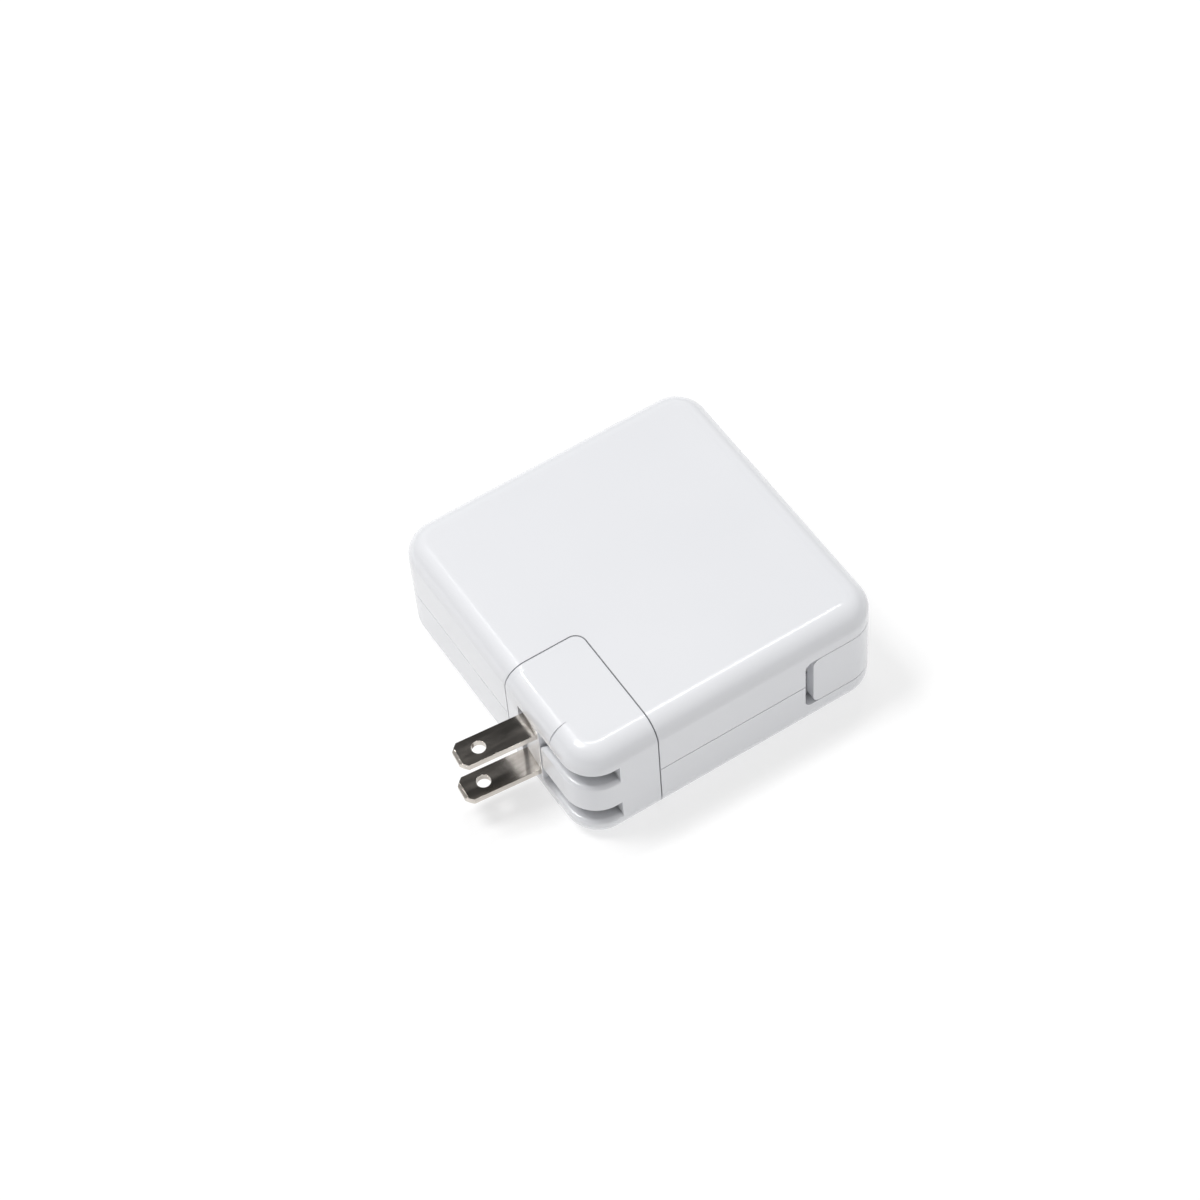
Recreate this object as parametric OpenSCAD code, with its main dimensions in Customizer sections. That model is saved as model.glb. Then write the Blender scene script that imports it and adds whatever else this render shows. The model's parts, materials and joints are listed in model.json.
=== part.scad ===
// Square laptop power adapter with a slide-off plug head, folding blades and
// two flip-out arms that the output lead is wrapped round.
// Millimetres. The origin is the centre of the underside, and +Z is up.
// +X points to the face that the output lead leaves, and the blades point to -X.

/* [Case] */
// Length of each side of the square case
case_side = 74; // [72:0.5:80]
// Thickness of the case
case_t = 29.5; // [29:0.1:31]
// Radius of the four upright corners
corner_r = 7.7; // [7:0.1:9]
// Radius of the top and bottom edges
edge_r = 5; // [4:0.1:5.5]
// Thickness of the case walls
wall = 2.2; // [1.8:0.1:2.4]
// Height of the line where the two case halves meet
split_z = 14.5; // [13:0.1:16]

/* [Plug head] */
// Length of the plug head along X
head_x = 18.5; // [18:0.1:20]
// Width of the plug head along Y
head_y = 29.5; // [29:0.1:31]
// Radius of the inner corner between the head and the case
notch_r = 2.75; // [2:0.05:4]
// Gap between the head and the case
head_gap = 0.3; // [0.2:0.05:0.4]

/* [Blades] */
// Width of each flat blade
blade_w = 6.35; // [6:0.05:6.4]
// Thickness of each flat blade
blade_t = 1.5; // [1.4:0.05:1.65]
// Distance between the centre planes of the two blades
blade_pitch = 12.7; // [12.5:0.1:12.9]
// Length of a blade from the hinge axis to its tip
blade_reach = 20.7; // [20:0.1:20.9]
// Diameter of the hole through each blade
blade_hole_d = 3.1; // [3:0.05:3.3]
// Angle past square that the open blades stand at
blade_lean = 5.3; // [0:0.1:6]
// Height of each slot that a blade folds into
slot_h = 4.4; // [4:0.1:4.8]

/* [Lead arms] */
// Height of each flip-out arm
arm_h = 15; // [13:0.5:16]
// Thickness of each arm
arm_t = 2.4; // [2:0.1:2.6]
// Width of the finger notch beside the free end of an arm
arm_notch = 2; // [1.5:0.1:3]

/* [Lead outlet] */
// Diameter of the hole that the output lead passes through
lead_d = 3.8; // [3:0.1:4.5]

/* [Hidden] */
$fn = 64;

eps = 0.01;                            // overrun that lets a cut pass a face
half = case_side / 2;
mid_z = case_t / 2;
fit_gap = 0.1;                         // gap between parts that are assembled together
run_gap = 0.05;                        // radial gap round a pin that something turns on

// Case joint and the grommet of the output lead
joint_lap = 1;                         // height of the tongue inside the joint
tongue_in = 1.2;                       // depth of the tongue below the outside
seam_h = 0.25;                         // fine groove along the outside of the joint
seam_d = 0.3;
gland_side = 6.4;                      // square neck in the case wall
gland_r = 1.6;

// Head: its faces towards the case, and the hollow inside it
notch_x = -half + head_x;
notch_y = -half + head_y;
head_face_x = notch_x - head_gap;
head_face_y = notch_y - head_gap;
head_wall = 2;
chamber_x = notch_x - 6.7;
chamber_y = [-half + head_wall, notch_y - 5.1];
back_t = 1.8;                          // thickness of the plate that closes the hollow

// Slightly squarer stretch of the head's -X edges, above and below the blades
brow_y = [-half + 12, -half + 27.6];
brow_depth = 6;
brow_r = 4.2;

// Blades: hinge axis, and how far the blade's centre line lies beside it
pivot = [-half + 4.2, -half + 21.3];
pivot_pin_d = 2.5;
pin_z = [3, case_t - 3];
blade_side = 1.2;
blade_root = 2;                        // how far a blade runs past the hinge axis
blade_z = [mid_z - blade_pitch / 2, mid_z + blade_pitch / 2];
carrier_x = -half + 10.6;              // clear of the blades' roots at any angle
contact_w = 3;

// Slots that the blades fold into, and the pocket that their moulding turns in
slot_end_x = -half + 9;
slot_side_y = -half + 24.6;
slot_low = blade_z[0] - slot_h / 2;
slot_high = blade_z[1] + slot_h / 2;
pocket_r = 6.5;
floor_r = 1;                           // round edge of a slot's floor
lip_r = 0.35;                          // round edge of the roof over a slot

// Inlet: two pins in a recess shaped like a figure of eight
inlet = [notch_x, -half + head_y / 2, mid_z];
inlet_pitch = 8.2;
inlet_depth = 10.6;
inlet_pin_d = 2.4;
inlet_r = 4.1;
sleeve_d = 4;

// Stud that the head slides onto
stud = [notch_x - 9, mid_z];
stud_d = 3;
stud_cap_d = 6;
stud_cap_y = [notch_y - 3.3, notch_y - 2.1];
plate_t = 0.5;

// Arms: where each one starts on the side face and turns beside the lead face
arm_bay = arm_t + 0.3;
arm_z = [mid_z - arm_h / 2, mid_z + arm_h / 2];
arm_side_x = 17.4;
arm_corner_r = 1.8;
arm_room_wall = 1.6;
arm_gap = 0.2;
arm_pin = [half - arm_t / 2, -half + 14.5];
arm_pin_d = 1.2;
arm_pin_seat = 1.4;
spring_x = half - arm_bay - 0.25;
spring_y = [arm_pin[1] - 4.8, arm_pin[1] + 0.6];
spring_bow = 0.6;
spring_w = 8;
spring_room = 0.2;                     // free length at each end of the spring

// Board, choke and transformer, and the sheets round everything inside the case
board_z = 4.6;
board_t = 1.6;
board_top = board_z + board_t;
board_margin = 0.6;
choke_at = [12.6, -23.5];
choke_r = [3.5, 6.5];
choke_h = 7;
choke_wire = 0.8;
transformer_lift = 1.5;
transformer_at = [13, 9.5, board_top + transformer_lift];
core_size = [22, 20, 17];
core_side_t = 3.2;
core_plate = 3.4;
core_post_d = 8;
window_h = core_size[2] - 2 * core_plate;
bobbin_tube_d = 9.6;
bobbin_flange_d = 15;
bobbin_flange_t = 1;
sheet_t = 0.4;
sheet_gap = 0.4;
shield_margin = 2.4;
film_margin = 1.8;
sheet_notch_gap = 1;

white = [0.93, 0.94, 0.95];
pale_grey = [0.82, 0.83, 0.84];
nickel = [0.45, 0.44, 0.42];
steel = [0.6, 0.6, 0.62];
bronze = [0.72, 0.5, 0.28];
ferrite = [0.2, 0.2, 0.21];
copper = [0.75, 0.42, 0.2];
tin = [0.7, 0.71, 0.72];
epoxy_black = [0.08, 0.08, 0.08];
board_green = [0.1, 0.35, 0.16];

// ---- Shapes used more than once ----

// A block from its lowest corner to its highest corner
module span(low, high) {
    translate(low) cube(high - low);
}

// A square with round corners, centred on the origin
module rounded_square(side, r) {
    square([side, side - 2 * r], center = true);
    square([side - 2 * r, side], center = true);
    for (x = [-1, 1], y = [-1, 1])
        translate([x, y] * (side / 2 - r)) circle(r);
}

// Upright section through an edge of the case, from a corner's axis outwards
module edge_section(reach, h, r) {
    intersection() {
        square([reach, h]);
        union() {
            square([reach - r, h]);
            translate([0, r]) square([reach, h - 2 * r]);
            for (z = [r, h - r])
                translate([reach - r, z]) circle(r);
        }
    }
}

// A square box whose upright corners and whose top and bottom edges are round
module soft_box(side, h, corner, edge) {
    straight = side - 2 * corner;
    for (a = [0 : 90 : 270])
        rotate(a) translate([straight / 2, straight / 2, 0]) {
            rotate_extrude(angle = 90) edge_section(corner, h, edge);
            rotate([90, 0, 0]) linear_extrude(straight) edge_section(corner, h, edge);
        }
    translate([-straight / 2, -straight / 2, 0]) cube([straight, straight, h]);
}

// The outside of the case and head together
module outer_form() {
    soft_box(case_side, case_t, corner_r, edge_r);
}

// The case's inside, before the walls round the notch and arms are added
module inner_form() {
    translate([0, 0, wall])
        soft_box(case_side - 2 * wall, case_t - 2 * wall, corner_r - wall, edge_r - wall);
}

// The corner block that the head fills, up to the faces given
module corner_block(face_x, face_y, r) {
    low = -half - 5;
    translate([0, 0, -1]) linear_extrude(case_t + 2) {
        translate([low, low]) square([face_x - low, face_y - r - low]);
        translate([low, low]) square([face_x - r - low, face_y - low]);
        translate([face_x - r, face_y - r]) circle(r);
    }
}

// The layer just inside the case's outline, between two depths
module skin_layer(depth_out, depth_in, z) {
    translate([0, 0, z[0]]) linear_extrude(z[1] - z[0]) difference() {
        rounded_square(case_side - 2 * depth_out, corner_r - depth_out);
        rounded_square(case_side - 2 * depth_in, corner_r - depth_in);
    }
}

// A figure of eight lying on its side, extruded along +X from the origin
module figure_eight(r, length) {
    rotate([90, 0, 90]) linear_extrude(length) {
        for (y = [-1, 1])
            translate([y * inlet_pitch / 2, 0]) circle(r);
        square([inlet_pitch, 2 * r - 1.6], center = true);
    }
}

// A round bar along X, from the point given
module bar_x(at, d, length) {
    translate(at) rotate([0, 90, 0]) cylinder(d = d, h = length);
}

// A round bar along Y, from the point given
module bar_y(at, d, length) {
    translate(at) rotate([-90, 0, 0]) cylinder(d = d, h = length);
}

// An L-shaped sheet that fills the case's inside round the notch
module inner_sheet(z, t, margin) {
    translate([0, 0, z]) linear_extrude(t)
        rounded_square(case_side - 2 * (wall + margin), corner_r - wall - margin);
}

// The walls round the notch, taken out of anything that fills the case
module notch_room(margin) {
    corner_block(notch_x + wall + margin, notch_y + wall + margin, notch_r);
}

// ---- Case ----

// Upright outline whose -X corners are round, for the free end of an arm
module free_end(x, z, r) {
    rotate([90, 0, 0]) linear_extrude(2 * case_side, center = true) {
        translate([x + r, z[0]]) square([case_side, z[1] - z[0]]);
        translate([x, z[0] + r]) square([case_side, z[1] - z[0] - 2 * r]);
        for (corner_z = [z[0] + r, z[1] - r])
            translate([x + r, corner_z]) circle(r);
    }
}

// Room for the arm in the -Y side, or with grow the walls round that room
module arm_room(grow) {
    intersection() {
        skin_layer(-1 - grow, arm_bay + grow, [arm_z[0] - grow, arm_z[1] + grow]);
        span([arm_side_x - grow, -half - 2, 0],
             [half + 2, arm_pin[1] + arm_t / 2 + arm_gap + grow, case_t]);
        free_end(arm_side_x - grow, [arm_z[0] - grow, arm_z[1] + grow], arm_corner_r);
    }
}

// Something made for the -Y side, and its mirror image on the +Y side
module both_sides() {
    children();
    mirror([0, 1, 0]) children();
}

module case_hollow() {
    difference() {
        inner_form();
        notch_room(0);
        both_sides() arm_room(arm_room_wall);
    }
}

// Recess behind the end of an arm where its spring lies
module spring_recess() {
    span([spring_x - spring_bow, spring_y[0] - spring_room, mid_z - spring_w / 2 - fit_gap],
         [half - arm_bay + eps, spring_y[1] + spring_room, mid_z + spring_w / 2 + fit_gap]);
}

// Both halves of the case as one, before they are parted at the joint
module case_body() {
    difference() {
        outer_form();
        corner_block(notch_x, notch_y, notch_r);
        case_hollow();
        both_sides() {
            arm_room(0);
            translate([arm_pin[0], arm_pin[1], arm_z[0] - arm_pin_seat])
                cylinder(d = arm_pin_d, h = arm_h + 2 * arm_pin_seat);
            spring_recess();
        }
        translate(inlet - [1, 0, 0]) figure_eight(inlet_r, wall + 2);
        bar_y([stud[0], notch_y - 1, stud[1]], stud_d, wall + 2);
        gland_neck(gland_side + 2 * run_gap, half - wall - 1, wall + 2);
    }
}

module top_cover() {
    color(white) difference() {
        intersection() {
            case_body();
            span([-half - 1, -half - 1, split_z], [half + 1, half + 1, case_t + 1]);
        }
        skin_layer(tongue_in - fit_gap, wall + 1, [split_z - 1, split_z + joint_lap + fit_gap]);
        skin_layer(-1, seam_d, [split_z - 1, split_z + seam_h]);
    }
}

module bottom_cover() {
    color(white) {
        intersection() {
            case_body();
            span([-half - 1, -half - 1, -1], [half + 1, half + 1, split_z]);
        }
        intersection() {
            case_body();
            skin_layer(tongue_in, wall + 0.5, [split_z - 0.5, split_z + joint_lap]);
        }
    }
}

// Moulding behind the notch wall, with the recess that the head plugs into
module inlet_socket() {
    socket_w = 19;
    socket_h = 11.4;
    back = 1.6;
    front_x = notch_x + wall;
    back_x = notch_x + inlet_depth;
    color(epoxy_black) difference() {
        span([front_x, inlet[1] - socket_w / 2, inlet[2] - socket_h / 2],
             [back_x + back, inlet[1] + socket_w / 2, inlet[2] + socket_h / 2]);
        translate([front_x - 1, inlet[1], inlet[2]])
            figure_eight(inlet_r, back_x - front_x + 1);
        for (y = [-1, 1])
            bar_x([back_x - 1, inlet[1] + y * inlet_pitch / 2, inlet[2]], inlet_pin_d, back + 2);
    }
}

// One inlet pin, from its round tip to its tail behind the moulding
module inlet_pin(side) {
    tip_r = 0.6;
    start_x = notch_x + 0.8;
    end_x = notch_x + inlet_depth + 4;
    color(nickel) translate([start_x, inlet[1] + side * inlet_pitch / 2, inlet[2]])
        rotate([0, 90, 0]) {
            translate([0, 0, tip_r]) cylinder(d = inlet_pin_d, h = end_x - start_x - tip_r);
            cylinder(d1 = inlet_pin_d - 2 * tip_r, d2 = inlet_pin_d, h = tip_r);
        }
}

module inlet_pin_right() {
    inlet_pin(-1);
}

module inlet_pin_left() {
    inlet_pin(1);
}

// Mushroom-shaped stud on the short notch wall
module guide_stud() {
    base_d = 7;
    base_t = 1;
    color(nickel) {
        bar_y([stud[0], notch_y + wall, stud[1]], base_d, base_t);
        bar_y([stud[0], stud_cap_y[0], stud[1]], stud_d, notch_y + wall - stud_cap_y[0]);
        bar_y([stud[0], stud_cap_y[0], stud[1]], stud_cap_d, stud_cap_y[1] - stud_cap_y[0]);
    }
}

// ---- Inside the case ----

module main_board() {
    color(board_green) difference() {
        inner_sheet(board_z, board_t, board_margin);
        notch_room(board_margin);
        both_sides() arm_room(arm_room_wall + board_margin);
    }
}

// A block that stands on the board, or this far above it
module on_board(at, size, lift = 0) {
    translate([at[0], at[1], board_top + lift]) cube(size);
}

// A wire lead that stands on the board
module wire_lead(at, h) {
    translate([at[0], at[1], board_top]) cylinder(d = 0.8, h = h);
}

// Glass fuse that lies beside the inlet
module fuse() {
    at = [1.5, -32];
    body_d = 5;
    cap_d = 5.6;
    cap_l = 4;
    length = 16;
    color(tin) translate([at[0], at[1], board_top + cap_d / 2 + fit_gap])
        rotate([-90, 0, 0]) {
            cylinder(d = body_d, h = length);
            for (z = [0, length - cap_l]) translate([0, 0, z]) cylinder(d = cap_d, h = cap_l);
        }
}

// Disc that absorbs surges, upright on its two leads
module surge_disc() {
    at = [2.2, -13.4];
    disc_d = 10;
    disc_t = 3.6;
    leads_h = 1;
    lead_pitch = 5;
    color([0.1, 0.25, 0.6]) {
        bar_y([at[0], at[1], board_top + leads_h + disc_d / 2], disc_d, disc_t);
        for (x = [-1, 1])
            wire_lead([at[0] + x * lead_pitch / 2, at[1] + disc_t / 2], leads_h + disc_d / 4);
    }
}

// Ring of the choke that keeps switching noise out of the mains
module choke_core() {
    color(ferrite) translate([choke_at[0], choke_at[1], board_top + choke_wire]) difference() {
        cylinder(r = choke_r[1], h = choke_h);
        translate([0, 0, -1]) cylinder(r = choke_r[0], h = choke_h + 2);
    }
}

// Two half windings that wrap the choke's ring
module choke_winding() {
    turned = 140;
    ring_w = choke_r[1] - choke_r[0];
    color(copper) translate([choke_at[0], choke_at[1], board_top + choke_wire])
        for (a = [20, 200]) rotate(a) rotate_extrude(angle = turned) difference() {
            translate([choke_r[0] - choke_wire, -choke_wire])
                square([ring_w + 2 * choke_wire, choke_h + 2 * choke_wire]);
            translate([choke_r[0], 0]) square([ring_w, choke_h]);
        }
}

module line_capacitor() {
    at = [8.5, -12];
    size = [14, 7.5, 13];
    color([0.85, 0.7, 0.15]) on_board(at, size);
}

// Flat rectifier package that stands on its four leads
module bridge_rectifier() {
    at = [-3.5, -9];
    body = [3.5, 18, 11];
    lead = [0.8, 0.8, 3];
    lead_x = 1.3;
    lead_pitch = 5;
    lead_y = (body[1] - 3 * lead_pitch - lead[1]) / 2;
    color(epoxy_black) {
        on_board(at, body, lead[2]);
        for (n = [0 : 3])
            on_board([at[0] + lead_x, at[1] + lead_y + n * lead_pitch], lead);
    }
}

// Can that smooths the rectified mains, lying on the board
module bulk_capacitor() {
    can_d = 17;
    length = 27;
    rim_l = 3;
    crimp_w = 1;
    crimp = 0.5;
    at = [-33, 5, board_top + can_d / 2 + fit_gap];
    color([0.12, 0.13, 0.16]) {
        bar_x(at, can_d, length - rim_l - crimp_w);
        bar_x(at, can_d - 2 * crimp, length);
        bar_x(at + [length - rim_l, 0, 0], can_d, rim_l);
    }
}

// Ferrite core: two plates, two side walls and a round post through the winding
module transformer_core() {
    color(ferrite) translate(transformer_at) {
        for (z = [0, core_size[2] - core_plate])
            translate([-core_size[0] / 2, -core_size[1] / 2, z])
                cube([core_size[0], core_size[1], core_plate]);
        for (x = [-core_size[0] / 2, core_size[0] / 2 - core_side_t])
            translate([x, -core_size[1] / 2, core_plate])
                cube([core_side_t, core_size[1], window_h]);
        translate([0, 0, core_plate]) cylinder(d = core_post_d, h = window_h);
    }
}

// Former that the winding lies on, with a foot at each end that stands on the board
module transformer_bobbin() {
    arm_w = 10;
    foot_w = 16;
    foot_t = 2.4;
    foot_y = core_size[1] / 2 + fit_gap;
    flange_z = core_plate + bobbin_flange_t;
    color(epoxy_black) translate(transformer_at) {
        translate([0, 0, core_plate]) difference() {
            union() {
                cylinder(d = bobbin_tube_d, h = window_h);
                for (z = [0, window_h - bobbin_flange_t])
                    translate([0, 0, z]) cylinder(d = bobbin_flange_d, h = bobbin_flange_t);
            }
            translate([0, 0, -1]) cylinder(d = core_post_d, h = window_h + 2);
        }
        both_sides() {
            span([-arm_w / 2, bobbin_tube_d / 2, core_plate], [arm_w / 2, foot_y, flange_z]);
            span([-foot_w / 2, foot_y, -transformer_lift],
                 [foot_w / 2, foot_y + foot_t, flange_z]);
        }
    }
}

module transformer_winding() {
    winding_d = 14;
    color([0.85, 0.72, 0.25])
        translate(transformer_at + [0, 0, core_plate + bobbin_flange_t]) difference() {
            cylinder(d = winding_d, h = window_h - 2 * bobbin_flange_t);
            translate([0, 0, -1]) cylinder(d = bobbin_tube_d, h = window_h);
        }
}

// Flat three-lead package with a metal tab, from the middle of its front face on the board
module leaded_package(at) {
    body = [10, 4.4, 9];
    tab = [10, 1.3, 5];
    tab_hole_d = 3.6;
    lead = [0.8, 0.6, 5];
    lead_y = 1.6;
    lead_pitch = 2.5;
    color(epoxy_black) translate([at[0], at[1], board_top]) {
        translate([-body[0] / 2, 0, lead[2]]) cube(body);
        translate([0, body[1] - tab[1], lead[2] + body[2]]) difference() {
            translate([-tab[0] / 2, 0, 0]) cube(tab);
            bar_y([0, -1, tab[2] / 2], tab_hole_d, tab[1] + 2);
        }
        for (n = [-1 : 1])
            translate([n * lead_pitch - lead[0] / 2, lead_y, 0]) cube(lead);
    }
}

// Aluminium plate along the +Y side, folded outwards at the top
module heatsink(x, length) {
    y = 29.2;
    h = 18;
    plate = 1.6;
    fold = 4.2;
    color(tin) {
        on_board([x, y], [length, plate, h]);
        on_board([x, y], [length, fold, plate], h - plate);
    }
}

module power_transistor() {
    leaded_package([-20, 24.8]);
}

module primary_heatsink() {
    heatsink(-31, 27);
}

module output_rectifier() {
    leaded_package([7, 24.8]);
}

module output_heatsink() {
    heatsink(-1, 16);
}

// One of the three cans in a row that smooth the output
module output_capacitor(n) {
    first = [28, -24];
    pitch = 7;
    can_d = 6.3;
    can_h = 14;
    color([0.15, 0.2, 0.35]) translate([first[0], first[1] + (n - 1) * pitch, board_top])
        cylinder(d = can_d, h = can_h);
}

module output_capacitor_1() {
    output_capacitor(1);
}

module output_capacitor_2() {
    output_capacitor(2);
}

module output_capacitor_3() {
    output_capacitor(3);
}

// Wound ring that filters the output
module output_inductor() {
    at = [26, 26];
    outer_d = 10;
    inner_d = 4;
    h = 6;
    color(copper) translate([at[0], at[1], board_top]) difference() {
        cylinder(d = outer_d, h = h);
        translate([0, 0, -1]) cylinder(d = inner_d, h = h + 2);
    }
}

// Small disc that joins the two sides for radio noise, upright on its two leads
module isolation_capacitor() {
    at = [-10, 20.8];
    disc_d = 8;
    disc_t = 3;
    leads_h = 1;
    lead_pitch = 5;
    color([0.15, 0.4, 0.75]) {
        bar_x([at[0], at[1], board_top + leads_h + disc_d / 2], disc_d, disc_t);
        for (y = [-1, 1])
            wire_lead([at[0] + disc_t / 2, at[1] + y * lead_pitch / 2], leads_h + disc_d / 4);
    }
}

// Part that tells the mains side how high the output is
module optocoupler() {
    at = [-5.5, 17];
    size = [4.5, 6.5, 3.4];
    color(epoxy_black) on_board(at, size);
}

// Chip on the board's underside
module control_chip() {
    at = [-24, 14];
    size = [5, 4, 1.3];
    color(epoxy_black) on_board(at, size, -board_t - size[2]);
}

// Sheets: metal shields above and below, and a film that keeps the upper one off the parts
module upper_shield() {
    color(tin) difference() {
        inner_sheet(case_t - wall - sheet_gap - sheet_t, sheet_t, shield_margin);
        notch_room(sheet_notch_gap);
    }
}

module lower_shield() {
    color(tin) difference() {
        inner_sheet(wall + sheet_gap, sheet_t, shield_margin);
        notch_room(sheet_notch_gap);
    }
}

module insulation_sheet() {
    color([0.9, 0.78, 0.35]) difference() {
        inner_sheet(case_t - wall - sheet_gap - 3 * sheet_t, sheet_t, film_margin);
        notch_room(sheet_notch_gap);
    }
}

// Neck of the grommet in the case wall, square so that the lead can't turn it
module gland_neck(side, x, length) {
    translate([x, 0, mid_z]) rotate([90, 0, 90]) linear_extrude(length)
        rounded_square(side, gland_r);
}

// Flexible grommet that the output lead passes through
module lead_gland() {
    flange_d = 9.4;
    flange_t = 1.5;
    tail_d = 6;
    tail_l = 4;
    color(pale_grey) difference() {
        union() {
            gland_neck(gland_side, half - wall, wall);
            bar_x([half - wall - flange_t, 0, mid_z], flange_d, flange_t);
            bar_x([half - wall - flange_t - tail_l, 0, mid_z], tail_d, tail_l);
        }
        bar_x([half - wall - flange_t - tail_l - 1, 0, mid_z], lead_d, case_side);
    }
}

// ---- Arms ----

// Steel pin that an arm turns on, on the -Y side
module arm_pin_shape() {
    color(steel) translate([arm_pin[0], arm_pin[1], arm_z[0] - arm_pin_seat])
        cylinder(d = arm_pin_d, h = arm_h + 2 * arm_pin_seat);
}

module right_arm_pin() {
    arm_pin_shape();
}

module left_arm_pin() {
    mirror([0, 1, 0]) arm_pin_shape();
}

// Bowed leaf behind an arm, which holds it shut or open
module arm_spring_shape() {
    leaf_t = 0.2;
    crest_y = arm_pin[1] - 2.5;
    color(steel) translate([spring_x, 0, mid_z - spring_w / 2]) linear_extrude(spring_w)
        polygon([
            [-spring_bow, spring_y[0]], [-spring_bow + leaf_t, spring_y[0]],
            [leaf_t, crest_y], [-spring_bow + leaf_t, spring_y[1]],
            [-spring_bow, spring_y[1]], [0, crest_y]
        ]);
}

module right_arm_spring() {
    arm_spring_shape();
}

module left_arm_spring() {
    mirror([0, 1, 0]) arm_spring_shape();
}

// The arm on the -Y side: an angle that lies round the case's corner
module arm_shape() {
    z = [arm_z[0] + arm_gap, arm_z[1] - arm_gap];
    color(white) difference() {
        union() {
            intersection() {
                skin_layer(0, arm_t, z);
                span([arm_side_x + arm_notch, -half - 1, 0], [half + 1, arm_pin[1], case_t]);
                free_end(arm_side_x + arm_notch, z, arm_corner_r);
            }
            translate([arm_pin[0], arm_pin[1], z[0]]) cylinder(d = arm_t, h = z[1] - z[0]);
        }
        translate([arm_pin[0], arm_pin[1], 0])
            cylinder(d = arm_pin_d + 2 * run_gap, h = case_t);
    }
}

module right_arm() {
    arm_shape();
}

module left_arm() {
    mirror([0, 1, 0]) arm_shape();
}

// ---- Plug head ----

// The head's outside: the case's own corner, with slightly squarer edges by the blades
module head_block() {
    intersection() {
        union() {
            outer_form();
            intersection() {
                translate([-half + brow_depth, 0, 0]) rotate([90, 0, 0])
                    mirror([1, 0, 0]) linear_extrude(case_side, center = true)
                        edge_section(brow_depth, case_t, brow_r);
                span([-half - 1, brow_y[0], 0], [notch_x, brow_y[1], case_t]);
            }
        }
        corner_block(head_face_x, head_face_y, notch_r - head_gap);
    }
}

// Track in the head's +Y side that the stud runs along
module stud_track() {
    cap_room = stud_cap_d / 2 + 0.3;
    neck_room = stud_d / 2 + 0.2;
    span([stud[0] - cap_room, stud_cap_y[0] - 0.3, stud[1] - cap_room],
         [notch_x + 1, stud_cap_y[1] + plate_t + fit_gap, stud[1] + cap_room]);
    span([stud[0] - neck_room, stud_cap_y[0], stud[1] - neck_room],
         [notch_x + 1, notch_y + 1, stud[1] + neck_room]);
}

// Hollow behind the blades, where the contacts are
module head_chamber() {
    span([chamber_x, chamber_y[0], head_wall],
         [head_face_x + 1, chamber_y[1], case_t - head_wall]);
}

// Both slots. Their floors and lips run out to the head's outside in round edges
module blade_slots() {
    mid_low = slot_low + slot_h;
    mid_high = slot_high - slot_h;
    beyond = 6;
    difference() {
        span([-half - 2, -half - 2, slot_low - floor_r], [slot_end_x, slot_side_y, slot_high + lip_r]);
        translate([0, 0, slot_low - beyond]) soft_box(case_side, beyond, corner_r, floor_r);
        translate([0, 0, slot_high]) soft_box(case_side, beyond, corner_r, lip_r);
        intersection() {
            translate([0, 0, mid_high - 2 * beyond])
                soft_box(case_side, 2 * beyond, corner_r, floor_r);
            translate([0, 0, mid_low]) soft_box(case_side, 2 * beyond, corner_r, lip_r);
        }
    }
}

// Round pocket that the blades' moulding turns in
module carrier_pocket() {
    intersection() {
        translate([pivot[0], pivot[1], slot_low]) cylinder(r = pocket_r, h = slot_high - slot_low);
        span([-half - 2, -half, 0], [notch_x, slot_side_y, case_t]);
    }
}

module head_shell() {
    window_y = [pivot[1] - 3.5, pivot[1] + 1.5];
    color(white) difference() {
        head_block();
        blade_slots();
        carrier_pocket();
        translate([pivot[0], pivot[1], pin_z[0]]) cylinder(d = pivot_pin_d, h = pin_z[1] - pin_z[0]);
        head_chamber();
        for (z = blade_z)
            span([carrier_x - 1, window_y[0], z - contact_w / 2 - fit_gap],
                 [chamber_x + 1, window_y[1], z + contact_w / 2 + fit_gap]);
        stud_track();
    }
}

// Plate that closes the head, with the plug that enters the inlet
module head_back() {
    plug_r = inlet_r - 0.2;
    plug_l = inlet_depth - 0.6 + head_gap;
    color(white) difference() {
        union() {
            span([head_face_x - back_t, chamber_y[0] + fit_gap, head_wall + fit_gap],
                 [head_face_x, chamber_y[1] - fit_gap, case_t - head_wall - fit_gap]);
            translate([head_face_x, inlet[1], inlet[2]]) figure_eight(plug_r, plug_l);
        }
        for (y = [-1, 1])
            bar_x([head_face_x - back_t - 1, inlet[1] + y * inlet_pitch / 2, inlet[2]],
                  sleeve_d, plug_l + back_t + 2);
    }
}

// Steel plate behind the +Y side, slotted for the stud, that its cap hooks over
module retainer_plate() {
    slot_r = stud_d / 2 + 0.3;
    plate_r = stud_cap_d / 2 + 0.2;
    y = [stud_cap_y[1] + fit_gap, stud_cap_y[1] + fit_gap + plate_t - run_gap];
    color(steel) difference() {
        span([stud[0] - plate_r, y[0], stud[1] - plate_r], [head_face_x, y[1], stud[1] + plate_r]);
        span([stud[0] - slot_r, y[0] - 1, stud[1] - slot_r], [notch_x, y[1] + 1, stud[1] + slot_r]);
    }
}

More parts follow.
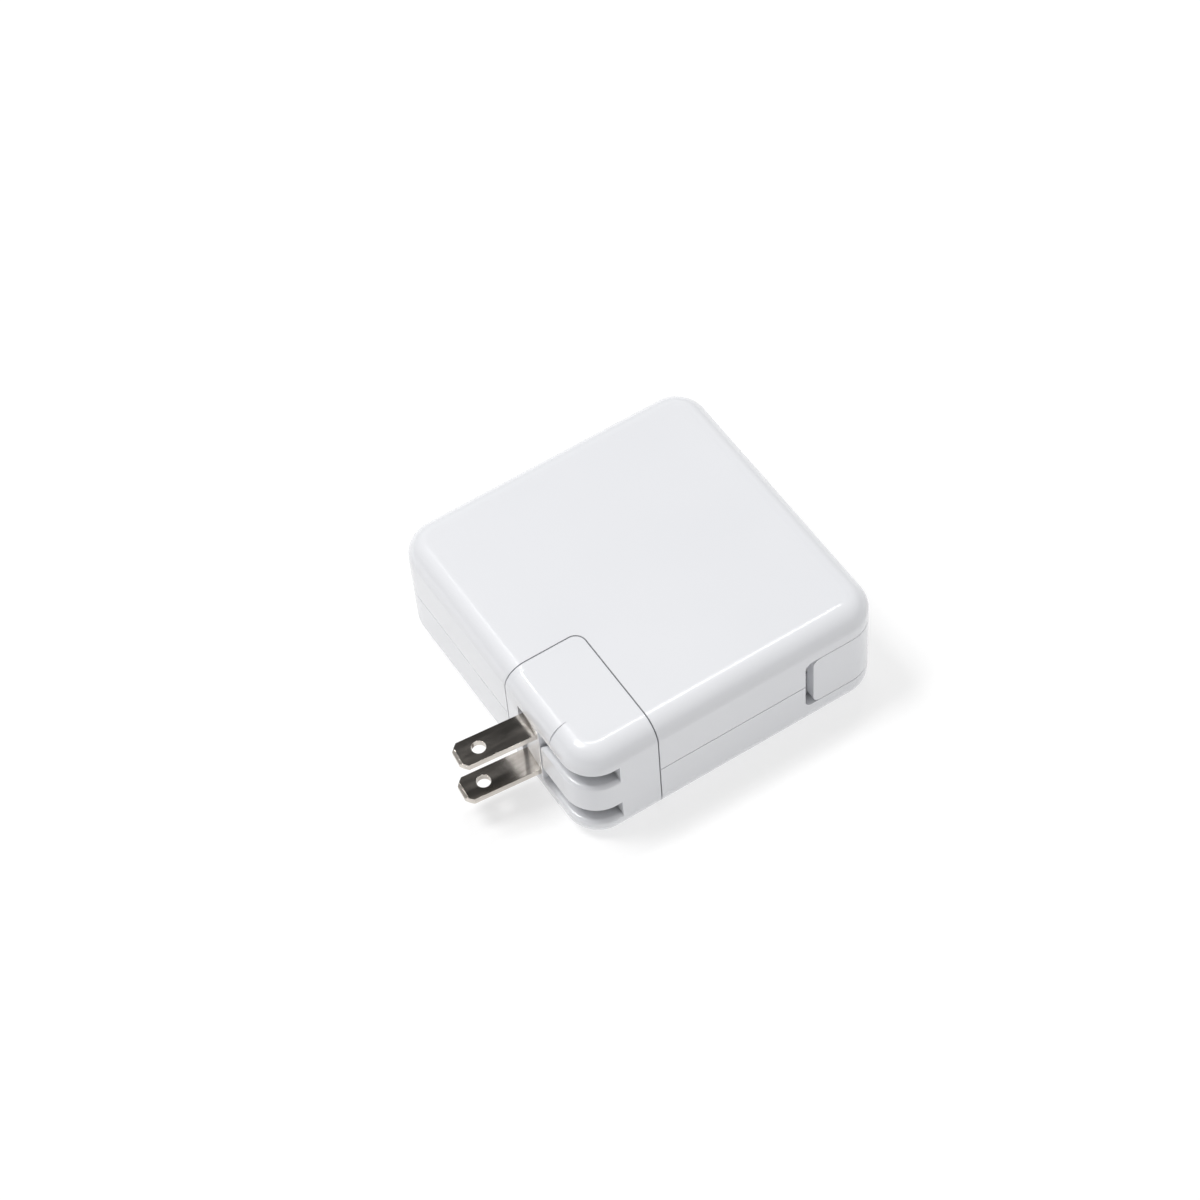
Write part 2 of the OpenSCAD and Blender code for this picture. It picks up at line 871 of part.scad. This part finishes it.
// Sleeve for one inlet pin, and the strip that leads from it to a finger beside one blade
module contact(side, z) {
    sleeve_x = [head_face_x - back_t - 1.6, notch_x + inlet_depth - 0.8];
    sleeve_y = inlet[1] + side * inlet_pitch / 2;
    strip_t = 0.4;
    strip_w = 2;
    strip_x = sleeve_x[0] + strip_t;
    finger_x = carrier_x + fit_gap;
    finger_y = [pivot[1] - 3, pivot[1] - 0.5];
    z_low = z - contact_w / 2;
    z_high = z + contact_w / 2;
    color(bronze) {
        difference() {
            bar_x([sleeve_x[0], sleeve_y, inlet[2]], sleeve_d, sleeve_x[1] - sleeve_x[0]);
            bar_x([strip_x, sleeve_y, inlet[2]], inlet_pin_d + 2 * run_gap, case_side);
        }
        span([sleeve_x[0], sleeve_y - strip_w / 2, min(z, inlet[2]) - contact_w / 2],
             [strip_x, sleeve_y + strip_w / 2, max(z, inlet[2]) + contact_w / 2]);
        span([sleeve_x[0], sleeve_y - strip_w / 2, z_low], [strip_x, finger_y[1], z_high]);
        span([finger_x, finger_y[1] - strip_t, z_low], [strip_x, finger_y[1], z_high]);
        span([finger_x, finger_y[0], z_low], [finger_x + strip_t, finger_y[1], z_high]);
    }
}

module upper_contact() {
    contact(1, blade_z[1]);
}

module lower_contact() {
    contact(-1, blade_z[0]);
}

module blade_pivot_pin() {
    color(steel) translate([pivot[0], pivot[1], pin_z[0]])
        cylinder(d = pivot_pin_d, h = pin_z[1] - pin_z[0]);
}

// ---- Blades ----

// Places parts made square to the face, hinge at the origin, at the open blades' angle
module on_hinge() {
    translate([pivot[0], pivot[1], 0]) rotate(-blade_lean) children();
}

// One flat blade with cut corners, a bevelled tip and a hole
module blade(z, hole = true) {
    corner = 1.5;
    bevel = 0.3;
    bevel_l = 0.6;
    hole_x = -blade_reach + 5.2;
    low_y = -blade_side - blade_w / 2;
    high_y = -blade_side + blade_w / 2;
    difference() {
        intersection() {
            translate([0, 0, z - blade_t / 2]) linear_extrude(blade_t) polygon([
                [blade_root, low_y], [blade_root, high_y],
                [-blade_reach + corner, high_y], [-blade_reach, high_y - corner],
                [-blade_reach, low_y + corner], [-blade_reach + corner, low_y]
            ]);
            rotate([90, 0, 0]) linear_extrude(case_side, center = true) polygon([
                [blade_root + 1, z - blade_t], [blade_root + 1, z + blade_t],
                [-blade_reach + bevel_l, z + blade_t], [-blade_reach + bevel_l, z + blade_t / 2],
                [-blade_reach, z + blade_t / 2 - bevel], [-blade_reach, z - blade_t / 2 + bevel],
                [-blade_reach + bevel_l, z - blade_t / 2], [-blade_reach + bevel_l, z - blade_t]
            ]);
        }
        if (hole)
            translate([hole_x, -blade_side, z - blade_t]) cylinder(d = blade_hole_d, h = 2 * blade_t);
        cylinder(d = pivot_pin_d + 2 * run_gap, h = case_t);
    }
}

// Moulding that carries both blades and turns on the pivot pin
module blade_carrier() {
    hub_r = 3.1;
    front_x = -3.8;
    back_x = 2.4;
    low_y = -5;
    high_y = 2.2;
    low = slot_low + 0.2;
    high = slot_high - 0.2;
    color(white) on_hinge() difference() {
        translate([0, 0, low]) linear_extrude(high - low) {
            circle(hub_r);
            translate([front_x, low_y]) square([back_x - front_x, -low_y]);
            translate([front_x, -eps]) square([-front_x, high_y + eps]);
        }
        cylinder(d = pivot_pin_d + 2 * run_gap, h = case_t);
        for (z = blade_z) blade(z, hole = false);
    }
}

module upper_blade() {
    color(nickel) on_hinge() blade(blade_z[1]);
}

module lower_blade() {
    color(nickel) on_hinge() blade(blade_z[0]);
}

top_cover();
bottom_cover();
inlet_socket();
inlet_pin_left();
inlet_pin_right();
guide_stud();
main_board();
fuse();
surge_disc();
choke_core();
choke_winding();
line_capacitor();
bridge_rectifier();
bulk_capacitor();
transformer_core();
transformer_bobbin();
transformer_winding();
power_transistor();
primary_heatsink();
output_rectifier();
output_heatsink();
output_capacitor_1();
output_capacitor_2();
output_capacitor_3();
output_inductor();
isolation_capacitor();
optocoupler();
control_chip();
upper_shield();
lower_shield();
insulation_sheet();
lead_gland();
right_arm_pin();
left_arm_pin();
right_arm_spring();
left_arm_spring();
right_arm();
left_arm();
head_shell();
head_back();
retainer_plate();
upper_contact();
lower_contact();
blade_pivot_pin();
blade_carrier();
upper_blade();
lower_blade();
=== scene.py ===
"""Square laptop power adapter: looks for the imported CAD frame.

Metres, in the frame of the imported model. +Z is up, +X points to the face that the output
lead leaves, and the blades point to -X. Every CAD node keeps its shape and its place, and
gets the procedural finish that the record names for it.
"""
import json
import math

import bmesh
import bpy
from mathutils import Euler, Matrix, Vector


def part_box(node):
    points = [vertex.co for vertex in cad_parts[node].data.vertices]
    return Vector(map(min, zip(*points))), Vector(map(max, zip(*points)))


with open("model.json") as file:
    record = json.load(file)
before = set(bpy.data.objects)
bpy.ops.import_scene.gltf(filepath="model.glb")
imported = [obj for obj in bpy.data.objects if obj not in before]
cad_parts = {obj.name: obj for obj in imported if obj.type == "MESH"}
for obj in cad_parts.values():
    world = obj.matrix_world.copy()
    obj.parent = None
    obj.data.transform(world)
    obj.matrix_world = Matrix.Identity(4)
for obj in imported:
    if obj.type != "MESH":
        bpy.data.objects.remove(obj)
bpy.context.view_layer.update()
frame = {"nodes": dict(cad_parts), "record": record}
MM = 0.001
NODES = frame["nodes"]

CAMERA = {
    "target": (-0.0055, 0.0064, 0.0145),
    "azimuth": -28.5,
    "elevation": 53.62,
    "roll": -5.1,
    "distance": 0.6676,
    "lens": 94.28,
}
WORLD = {
    "overhead": 0.8,                     # strength of the part that comes from above
    "falloff": 1.2,                      # power of the height that this part follows
    "side": (0.18, 0.055, 0),            # strength added towards +X and +Y
    "base": 0.055,                       # strength that is the same all round
    "card_towards": (0.27, 0.52, 0.81),  # where the dark card hangs
    "card_edge": (0.90, 0.965),          # cosines where the card begins and where it is whole
    "card": 0.04,                        # strength of the card
}
FLOOR_RADIUS = 6
FLOOR_DROP = 0.02 * MM                   # keeps the floor clear of the part's underside

WHITE = ((0.848, 0.856, 0.882), (0.836, 0.845, 0.872))
NOISE_SPAN = (0.3, 0.7)                  # what nearly all of a noise texture lies between
NOISE_MIDDLE = (0.35, 0.65)              # narrower, for a clearer split into two tones
ACROSS_X = (0.04, 1, 1)                  # stretches a texture into streaks along X
EDGE_ROUND = 0.12 * MM                   # how round light sees the edges of larger parts
EDGE_ROUND_SMALL = 0.1 * MM


# ---- Small tools ----

def direction(azimuth, elevation):
    """Unit vector towards a point at this azimuth (0 is -Y, 90 is +X) and elevation."""
    a, e = math.radians(azimuth), math.radians(elevation)
    return Vector((math.sin(a) * math.cos(e), -math.cos(a) * math.cos(e), math.sin(e)))


def scaled(colour, factor):
    """A colour made darker or lighter by a factor."""
    return tuple(min(1, factor * c) for c in colour)


def add_mesh(name, bm):
    """An object made from a bmesh, which is freed."""
    mesh = bpy.data.meshes.new(name)
    bm.to_mesh(mesh)
    bm.free()
    made = bpy.data.objects.new(name, mesh)
    bpy.context.scene.collection.objects.link(made)
    return made


def add_node(tree, kind, inputs=None, **settings):
    """A shader node, with each input either linked to a socket or set to a value."""
    made = tree.nodes.new(kind)
    for key, value in settings.items():
        setattr(made, key, value)
    for key, value in (inputs or {}).items():
        if isinstance(value, bpy.types.NodeSocket):
            tree.links.new(value, made.inputs[key])
        else:
            made.inputs[key].default_value = value
    return made


def maths(tree, operation, a, b):
    return add_node(tree, "ShaderNodeMath", {0: a, 1: b}, operation=operation).outputs[0]


def map_range(tree, value, source, target):
    made = add_node(tree, "ShaderNodeMapRange",
                    {0: value, 1: source[0], 2: source[1], 3: target[0], 4: target[1]},
                    interpolation_type="SMOOTHSTEP")
    return made.outputs[0]


# ---- Camera, floor and light ----

def make_camera():
    data = bpy.data.cameras.new("camera")
    data.lens = CAMERA["lens"]
    data.clip_start, data.clip_end = 0.01, 50
    camera = bpy.data.objects.new("camera", data)
    bpy.context.scene.collection.objects.link(camera)
    back = direction(CAMERA["azimuth"], CAMERA["elevation"])
    turn = (-back).to_track_quat("-Z", "Y")
    roll = Euler((0, 0, math.radians(CAMERA["roll"]))).to_quaternion()
    camera.rotation_mode = "QUATERNION"
    camera.rotation_quaternion = turn @ roll
    camera.location = Vector(CAMERA["target"]) + back * CAMERA["distance"]
    bpy.context.scene.camera = camera


def add_light(name, aim, towards, distance, size, radiance):
    """Rectangular light whose face has this radiance, turned so that its length lies along X."""
    data = bpy.data.lights.new(name, "AREA")
    data.shape = "RECTANGLE"
    data.size, data.size_y = size
    data.energy = radiance * size[0] * size[1] * math.pi
    light = bpy.data.objects.new(name, data)
    bpy.context.scene.collection.objects.link(light)
    back = Vector(towards).normalized()
    across = back.cross((1, 0, 0)).normalized()
    light.matrix_world = Matrix.LocRotScale(
        Vector(aim) + back * distance,
        Matrix((across.cross(back), across, back)).transposed().to_quaternion(), None)


def make_lights():
    """A soft key light, a strip that draws the line on the top edge, and a lamp that glints."""
    low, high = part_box("head_shell")
    far_edge = (low.x + 3.2 * MM, high.y - 3.7 * MM, high.z)
    add_light("key", aim=CAMERA["target"], towards=(-0.34, 0.25, 0.906), distance=1.4,
              size=(0.5, 0.36), radiance=15.5)
    add_light("strip", aim=CAMERA["target"], towards=(0.19, 0.25, 0.945), distance=1.3,
              size=(0.5, 0.12), radiance=12)
    add_light("lamp", aim=far_edge, towards=(-0.15, 0.517, 0.84), distance=1.2,
              size=(0.14, 0.009), radiance=90)


def make_world():
    """White surroundings, brightest overhead, with a dark card that the blades mirror."""
    world = bpy.data.worlds.new("studio")
    bpy.context.scene.world = world
    world.use_nodes = True
    tree = world.node_tree
    tree.nodes.clear()
    place = add_node(tree, "ShaderNodeTexCoord").outputs["Generated"]

    def facing(towards):
        return add_node(tree, "ShaderNodeVectorMath", {0: place, 1: towards},
                        operation="DOT_PRODUCT").outputs["Value"]

    height = maths(tree, "MAXIMUM", facing((0, 0, 1)), 0.0)
    overhead = maths(tree, "MULTIPLY", maths(tree, "POWER", height, WORLD["falloff"]),
                     WORLD["overhead"])
    side = maths(tree, "ADD", facing(WORLD["side"]), WORLD["base"])
    level = maths(tree, "MAXIMUM", maths(tree, "ADD", overhead, side), 0.0)
    card = map_range(tree, facing(Vector(WORLD["card_towards"]).normalized()),
                     WORLD["card_edge"], (0, 1))
    strength = add_node(tree, "ShaderNodeMix", {0: card, 2: level, 3: WORLD["card"]},
                        data_type="FLOAT")
    back = add_node(tree, "ShaderNodeBackground",
                    {"Color": (1, 1, 1, 1), "Strength": strength.outputs[0]})
    add_node(tree, "ShaderNodeOutputWorld", {"Surface": back.outputs[0]})


def make_floor():
    bm = bmesh.new()
    bmesh.ops.create_circle(bm, cap_ends=True, segments=96, radius=FLOOR_RADIUS)
    floor = add_mesh("floor", bm)
    floor.location.z = -FLOOR_DROP
    material = Finish("floor")
    material.colour(material.blend(material.noise(4), (0.50, 0.50, 0.50), (0.49, 0.49, 0.49)))
    material.set(roughness=0.9, specular=0.1, glow=0.55)
    floor.data.materials.append(material.made)


# ---- Finishes ----

class Finish:
    """A procedural material, built up one layer at a time in the object's own place."""

    def __init__(self, name):
        self.made = bpy.data.materials.new(name)
        self.made.use_nodes = True
        self.tree = self.made.node_tree
        self.tree.nodes.clear()
        self.shader = add_node(self.tree, "ShaderNodeBsdfPrincipled")
        add_node(self.tree, "ShaderNodeOutputMaterial", {"Surface": self.shader.outputs[0]})
        self.place = add_node(self.tree, "ShaderNodeTexCoord").outputs["Object"]
        self.normal = None

    def set(self, **values):
        """Values that are the same all over the surface."""
        sockets = {
            "roughness": "Roughness", "metallic": "Metallic", "specular": "Specular IOR Level",
            "coat": "Coat Weight", "coat_roughness": "Coat Roughness", "ior": "IOR",
            "anisotropic": "Anisotropic", "transmission": "Transmission Weight",
            "glow": "Emission Strength",
        }
        for key, value in values.items():
            self.shader.inputs[sockets[key]].default_value = value

    def stretched(self, stretch):
        if stretch is None:
            return self.place
        return add_node(self.tree, "ShaderNodeVectorMath", {0: self.place, 1: stretch},
                        operation="MULTIPLY").outputs[0]

    def noise(self, scale, detail=3.0, rough=0.5, stretch=None):
        return add_node(self.tree, "ShaderNodeTexNoise",
                        {"Vector": self.stretched(stretch), "Scale": scale, "Detail": detail,
                         "Roughness": rough}).outputs[0]

    def cells(self, scale, stretch=None):
        return add_node(self.tree, "ShaderNodeTexVoronoi",
                        {"Vector": self.stretched(stretch), "Scale": scale}).outputs["Distance"]

    def ramp(self, value, source, target=(0, 1)):
        return map_range(self.tree, value, source, target)

    def times(self, a, b):
        return maths(self.tree, "MULTIPLY", a, b)

    def plus(self, a, b):
        return maths(self.tree, "ADD", a, b)

    def blend(self, factor, a, b):
        """Colour between a and b; each is a colour or a socket."""
        def rgba(c):
            return c if isinstance(c, bpy.types.NodeSocket) else (*c, 1)
        made = add_node(self.tree, "ShaderNodeMix", {0: factor, 6: rgba(a), 7: rgba(b)},
                        data_type="RGBA")
        return made.outputs[2]

    def edges(self, radius):
        """1 along sharp edges, 0 on flat ground. The finishes paint highlights with it."""
        soft = add_node(self.tree, "ShaderNodeBevel", {"Radius": radius}, samples=4).outputs[0]
        hard = add_node(self.tree, "ShaderNodeNewGeometry").outputs["Normal"]
        close = add_node(self.tree, "ShaderNodeVectorMath", {0: soft, 1: hard},
                         operation="DOT_PRODUCT").outputs["Value"]
        return self.ramp(close, (0.995, 0.85))

    def crevices(self, distance, own=False):
        """1 in narrow gaps and inner corners, 0 in the open; own counts only this object. The
        finishes paint shade with it.
        """
        open_sky = add_node(self.tree, "ShaderNodeAmbientOcclusion", {"Distance": distance},
                            samples=8, only_local=own).outputs["AO"]
        return self.ramp(open_sky, (0.65, 0.1))

    def soften(self, radius):
        """Light catches sharp edges as if they had this radius."""
        self.normal = add_node(self.tree, "ShaderNodeBevel", {"Radius": radius},
                               samples=4).outputs[0]

    def bump(self, height, depth):
        """Relief this deep, in metres, on top of what is there."""
        inputs = {"Height": height, "Distance": depth, "Strength": 1.0}
        if self.normal is not None:
            inputs["Normal"] = self.normal
        self.normal = add_node(self.tree, "ShaderNodeBump", inputs).outputs[0]

    def colour(self, socket):
        self.tree.links.new(socket, self.shader.inputs["Base Color"])

    def roughness(self, socket):
        self.tree.links.new(socket, self.shader.inputs["Roughness"])

    def finish(self):
        if self.normal is not None:
            self.tree.links.new(self.normal, self.shader.inputs["Normal"])
        return self.made


def moulded(name, light, dark, rough, coat, grain=0.0):
    """Moulded plastic: tone drifts, handled gloss, painted highlights along the edges and
    painted shade in gaps and recesses.
    """
    f = Finish(name)
    drift = f.blend(f.ramp(f.noise(22, 2), NOISE_MIDDLE), light, dark)
    # painted shade: darker in narrow gaps and inner corners, where shade falls
    gap_shade = f.blend(f.times(f.crevices(1.2 * MM), 0.2), drift, scaled(dark, 0.6))
    # painted shade: much darker deep in recesses such as the slot ends
    recess_shade = f.blend(f.times(f.crevices(7 * MM, own=True), 0.95), gap_shade, scaled(dark, 0.3))
    # painted highlight: lighter colour along sharp edges
    f.colour(f.blend(f.times(f.edges(0.25 * MM), 0.3), recess_shade, scaled(light, 1.06)))
    handled = f.plus(f.times(f.noise(60, 3), 0.6),
                     f.times(f.noise(2600, 2, 0.6, (1, 0.2, 1)), 0.4))
    f.roughness(f.ramp(handled, NOISE_SPAN, (rough * 0.85, rough * 1.2)))
    f.set(coat=coat, coat_roughness=0.03, ior=1.5)
    f.soften(EDGE_ROUND)
    f.bump(f.noise(160, 2), 0.002 * MM)
    f.bump(f.noise(2600, 2), 0.0006 * MM)
    if grain:
        f.bump(f.noise(5200, 2), grain)
    return f.finish()


def plated(name, light, dark, rough):
    """Drawn and plated metal with streaks along X, painted shade in recesses and a painted
    highlight along the edges.
    """
    f = Finish(name)
    streak = f.noise(900, 4, 0.65, ACROSS_X)
    cloud = f.noise(260, 3, 0.6, (0.5, 1, 1))
    tone = f.blend(f.ramp(streak, NOISE_SPAN), light, dark)
    tone = f.blend(f.ramp(cloud, (0.45, 0.75), (0, 0.5)), tone, dark)
    # painted shade: darker in recesses such as the blade roots by the head
    tone = f.blend(f.times(f.crevices(12 * MM), 0.8), tone, scaled(dark, 0.35))
    # painted highlight: brighter colour along sharp edges
    f.colour(f.blend(f.times(f.edges(0.2 * MM), 0.7), tone, scaled(light, 1.35)))
    f.roughness(f.ramp(f.plus(f.times(streak, 0.5), f.times(cloud, 0.5)), NOISE_SPAN,
                       (rough * 0.75, rough * 1.3)))
    f.set(metallic=1.0, anisotropic=0.35)
    f.soften(EDGE_ROUND)
    f.bump(streak, 0.0015 * MM)
    f.bump(f.noise(3000, 2), 0.001 * MM)
    return f.finish()


def painted(name, light, dark, rough, scale=600, depth=0.01 * MM, metallic=0.0, coat=0.0):
    """Plain part: two tones, uneven gloss and fine relief, with a painted highlight along the
    edges.
    """
    f = Finish(name)
    tone = f.blend(f.ramp(f.noise(scale * 0.3, 3), NOISE_MIDDLE), light, dark)
    # painted highlight: lighter colour along sharp edges
    edge_highlight = tuple(min(1, c * 1.3 + 0.02) for c in light)
    f.colour(f.blend(f.times(f.edges(0.2 * MM), 0.4), tone, edge_highlight))
    f.roughness(f.ramp(f.noise(scale * 0.5, 3), NOISE_SPAN, (rough * 0.8, min(1, rough * 1.2))))
    f.set(metallic=metallic, coat=coat)
    f.soften(EDGE_ROUND_SMALL)
    f.bump(f.noise(scale, 3), depth)
    return f.finish()


def fibre_board(name):
    """Green circuit board with a woven core and paler copper lands under the lacquer."""
    f = Finish(name)
    weave = f.plus(f.noise(900, 1, 0.4, (1, 0.15, 1)), f.noise(900, 1, 0.4, (0.15, 1, 1)))
    base = f.blend(f.ramp(weave, (0.8, 1.2)), (0.02, 0.17, 0.08), (0.03, 0.24, 0.11))
    lands = f.ramp(f.cells(260, (1, 0.35, 1)), (0.10, 0.14))
    f.colour(f.blend(lands, (0.10, 0.36, 0.16), base))
    f.roughness(f.ramp(weave, (0.7, 1.3), (0.25, 0.45)))
    f.set(coat=0.4, coat_roughness=0.2)
    f.bump(weave, 0.01 * MM)
    f.bump(lands, 0.02 * MM)
    return f.finish()


def clear_glass(name):
    f = Finish(name)
    f.colour(f.blend(f.noise(300), (0.95, 0.97, 0.96), (0.88, 0.93, 0.91)))
    f.roughness(f.ramp(f.noise(500), NOISE_SPAN, (0.02, 0.08)))
    f.set(transmission=0.85, ior=1.5)
    f.bump(f.noise(800), 0.002 * MM)
    return f.finish()


def make_finishes():
    """One finish for each material slot of the record."""
    return {
        "white_gloss": moulded("white_gloss", *WHITE, rough=0.22, coat=0.3),
        "grommet": moulded("grommet", (0.62, 0.63, 0.65), (0.58, 0.59, 0.61), rough=0.5,
                           coat=0.0, grain=0.006 * MM),
        "blade_nickel": plated("blade_nickel", (0.68, 0.64, 0.59), (0.52, 0.48, 0.44), 0.15),
        "pin_nickel": plated("pin_nickel", (0.70, 0.67, 0.62), (0.60, 0.57, 0.53), 0.2),
        "steel": plated("steel", (0.58, 0.58, 0.58), (0.48, 0.48, 0.49), 0.3),
        "contact_bronze": plated("contact_bronze", (0.75, 0.47, 0.27), (0.62, 0.36, 0.20), 0.3),
        "black_moulding": painted("black_moulding", (0.035, 0.035, 0.038),
                                  (0.022, 0.022, 0.024), rough=0.5, scale=1200),
        "board": fibre_board("board"),
        "ferrite": painted("ferrite", (0.075, 0.075, 0.08), (0.05, 0.05, 0.052), rough=0.65,
                           scale=900, depth=0.03 * MM),
        "copper_wire": painted("copper_wire", (0.72, 0.30, 0.13), (0.58, 0.21, 0.08), rough=0.3,
                               scale=700, depth=0.004 * MM, metallic=0.85, coat=0.5),
        "winding_tape": painted("winding_tape", (0.80, 0.62, 0.16), (0.72, 0.53, 0.11),
                                rough=0.35, scale=500, coat=0.4),
        "capacitor_can": painted("capacitor_can", (0.035, 0.04, 0.055), (0.025, 0.028, 0.04),
                                 rough=0.32, scale=500, depth=0.008 * MM, coat=0.5),
        "yellow_box": painted("yellow_box", (0.80, 0.60, 0.10), (0.72, 0.51, 0.07), rough=0.45),
        "blue_disc": painted("blue_disc", (0.06, 0.20, 0.50), (0.04, 0.14, 0.40), rough=0.35,
                             scale=500, depth=0.02 * MM, coat=0.4),
        "heatsink_metal": plated("heatsink_metal", (0.78, 0.79, 0.80), (0.66, 0.67, 0.69), 0.35),
        "shield_foil": plated("shield_foil", (0.74, 0.74, 0.72), (0.62, 0.62, 0.61), 0.3),
        "fuse_glass": clear_glass("fuse_glass"),
    }


def dress_nodes(finishes):
    """Gives each CAD node the finish that the record names for it."""
    slots = {row["node"]: row["material_slot"] for row in frame["record"]["subparts"]}
    for name, node in NODES.items():
        for slot in node.material_slots:
            slot.material = finishes[slots[name]]


# ---- The scene ----

make_camera()
make_world()
make_lights()
make_floor()
dress_nodes(make_finishes())
bpy.context.scene.view_settings.view_transform = "Standard"

bpy.context.view_layer.update()
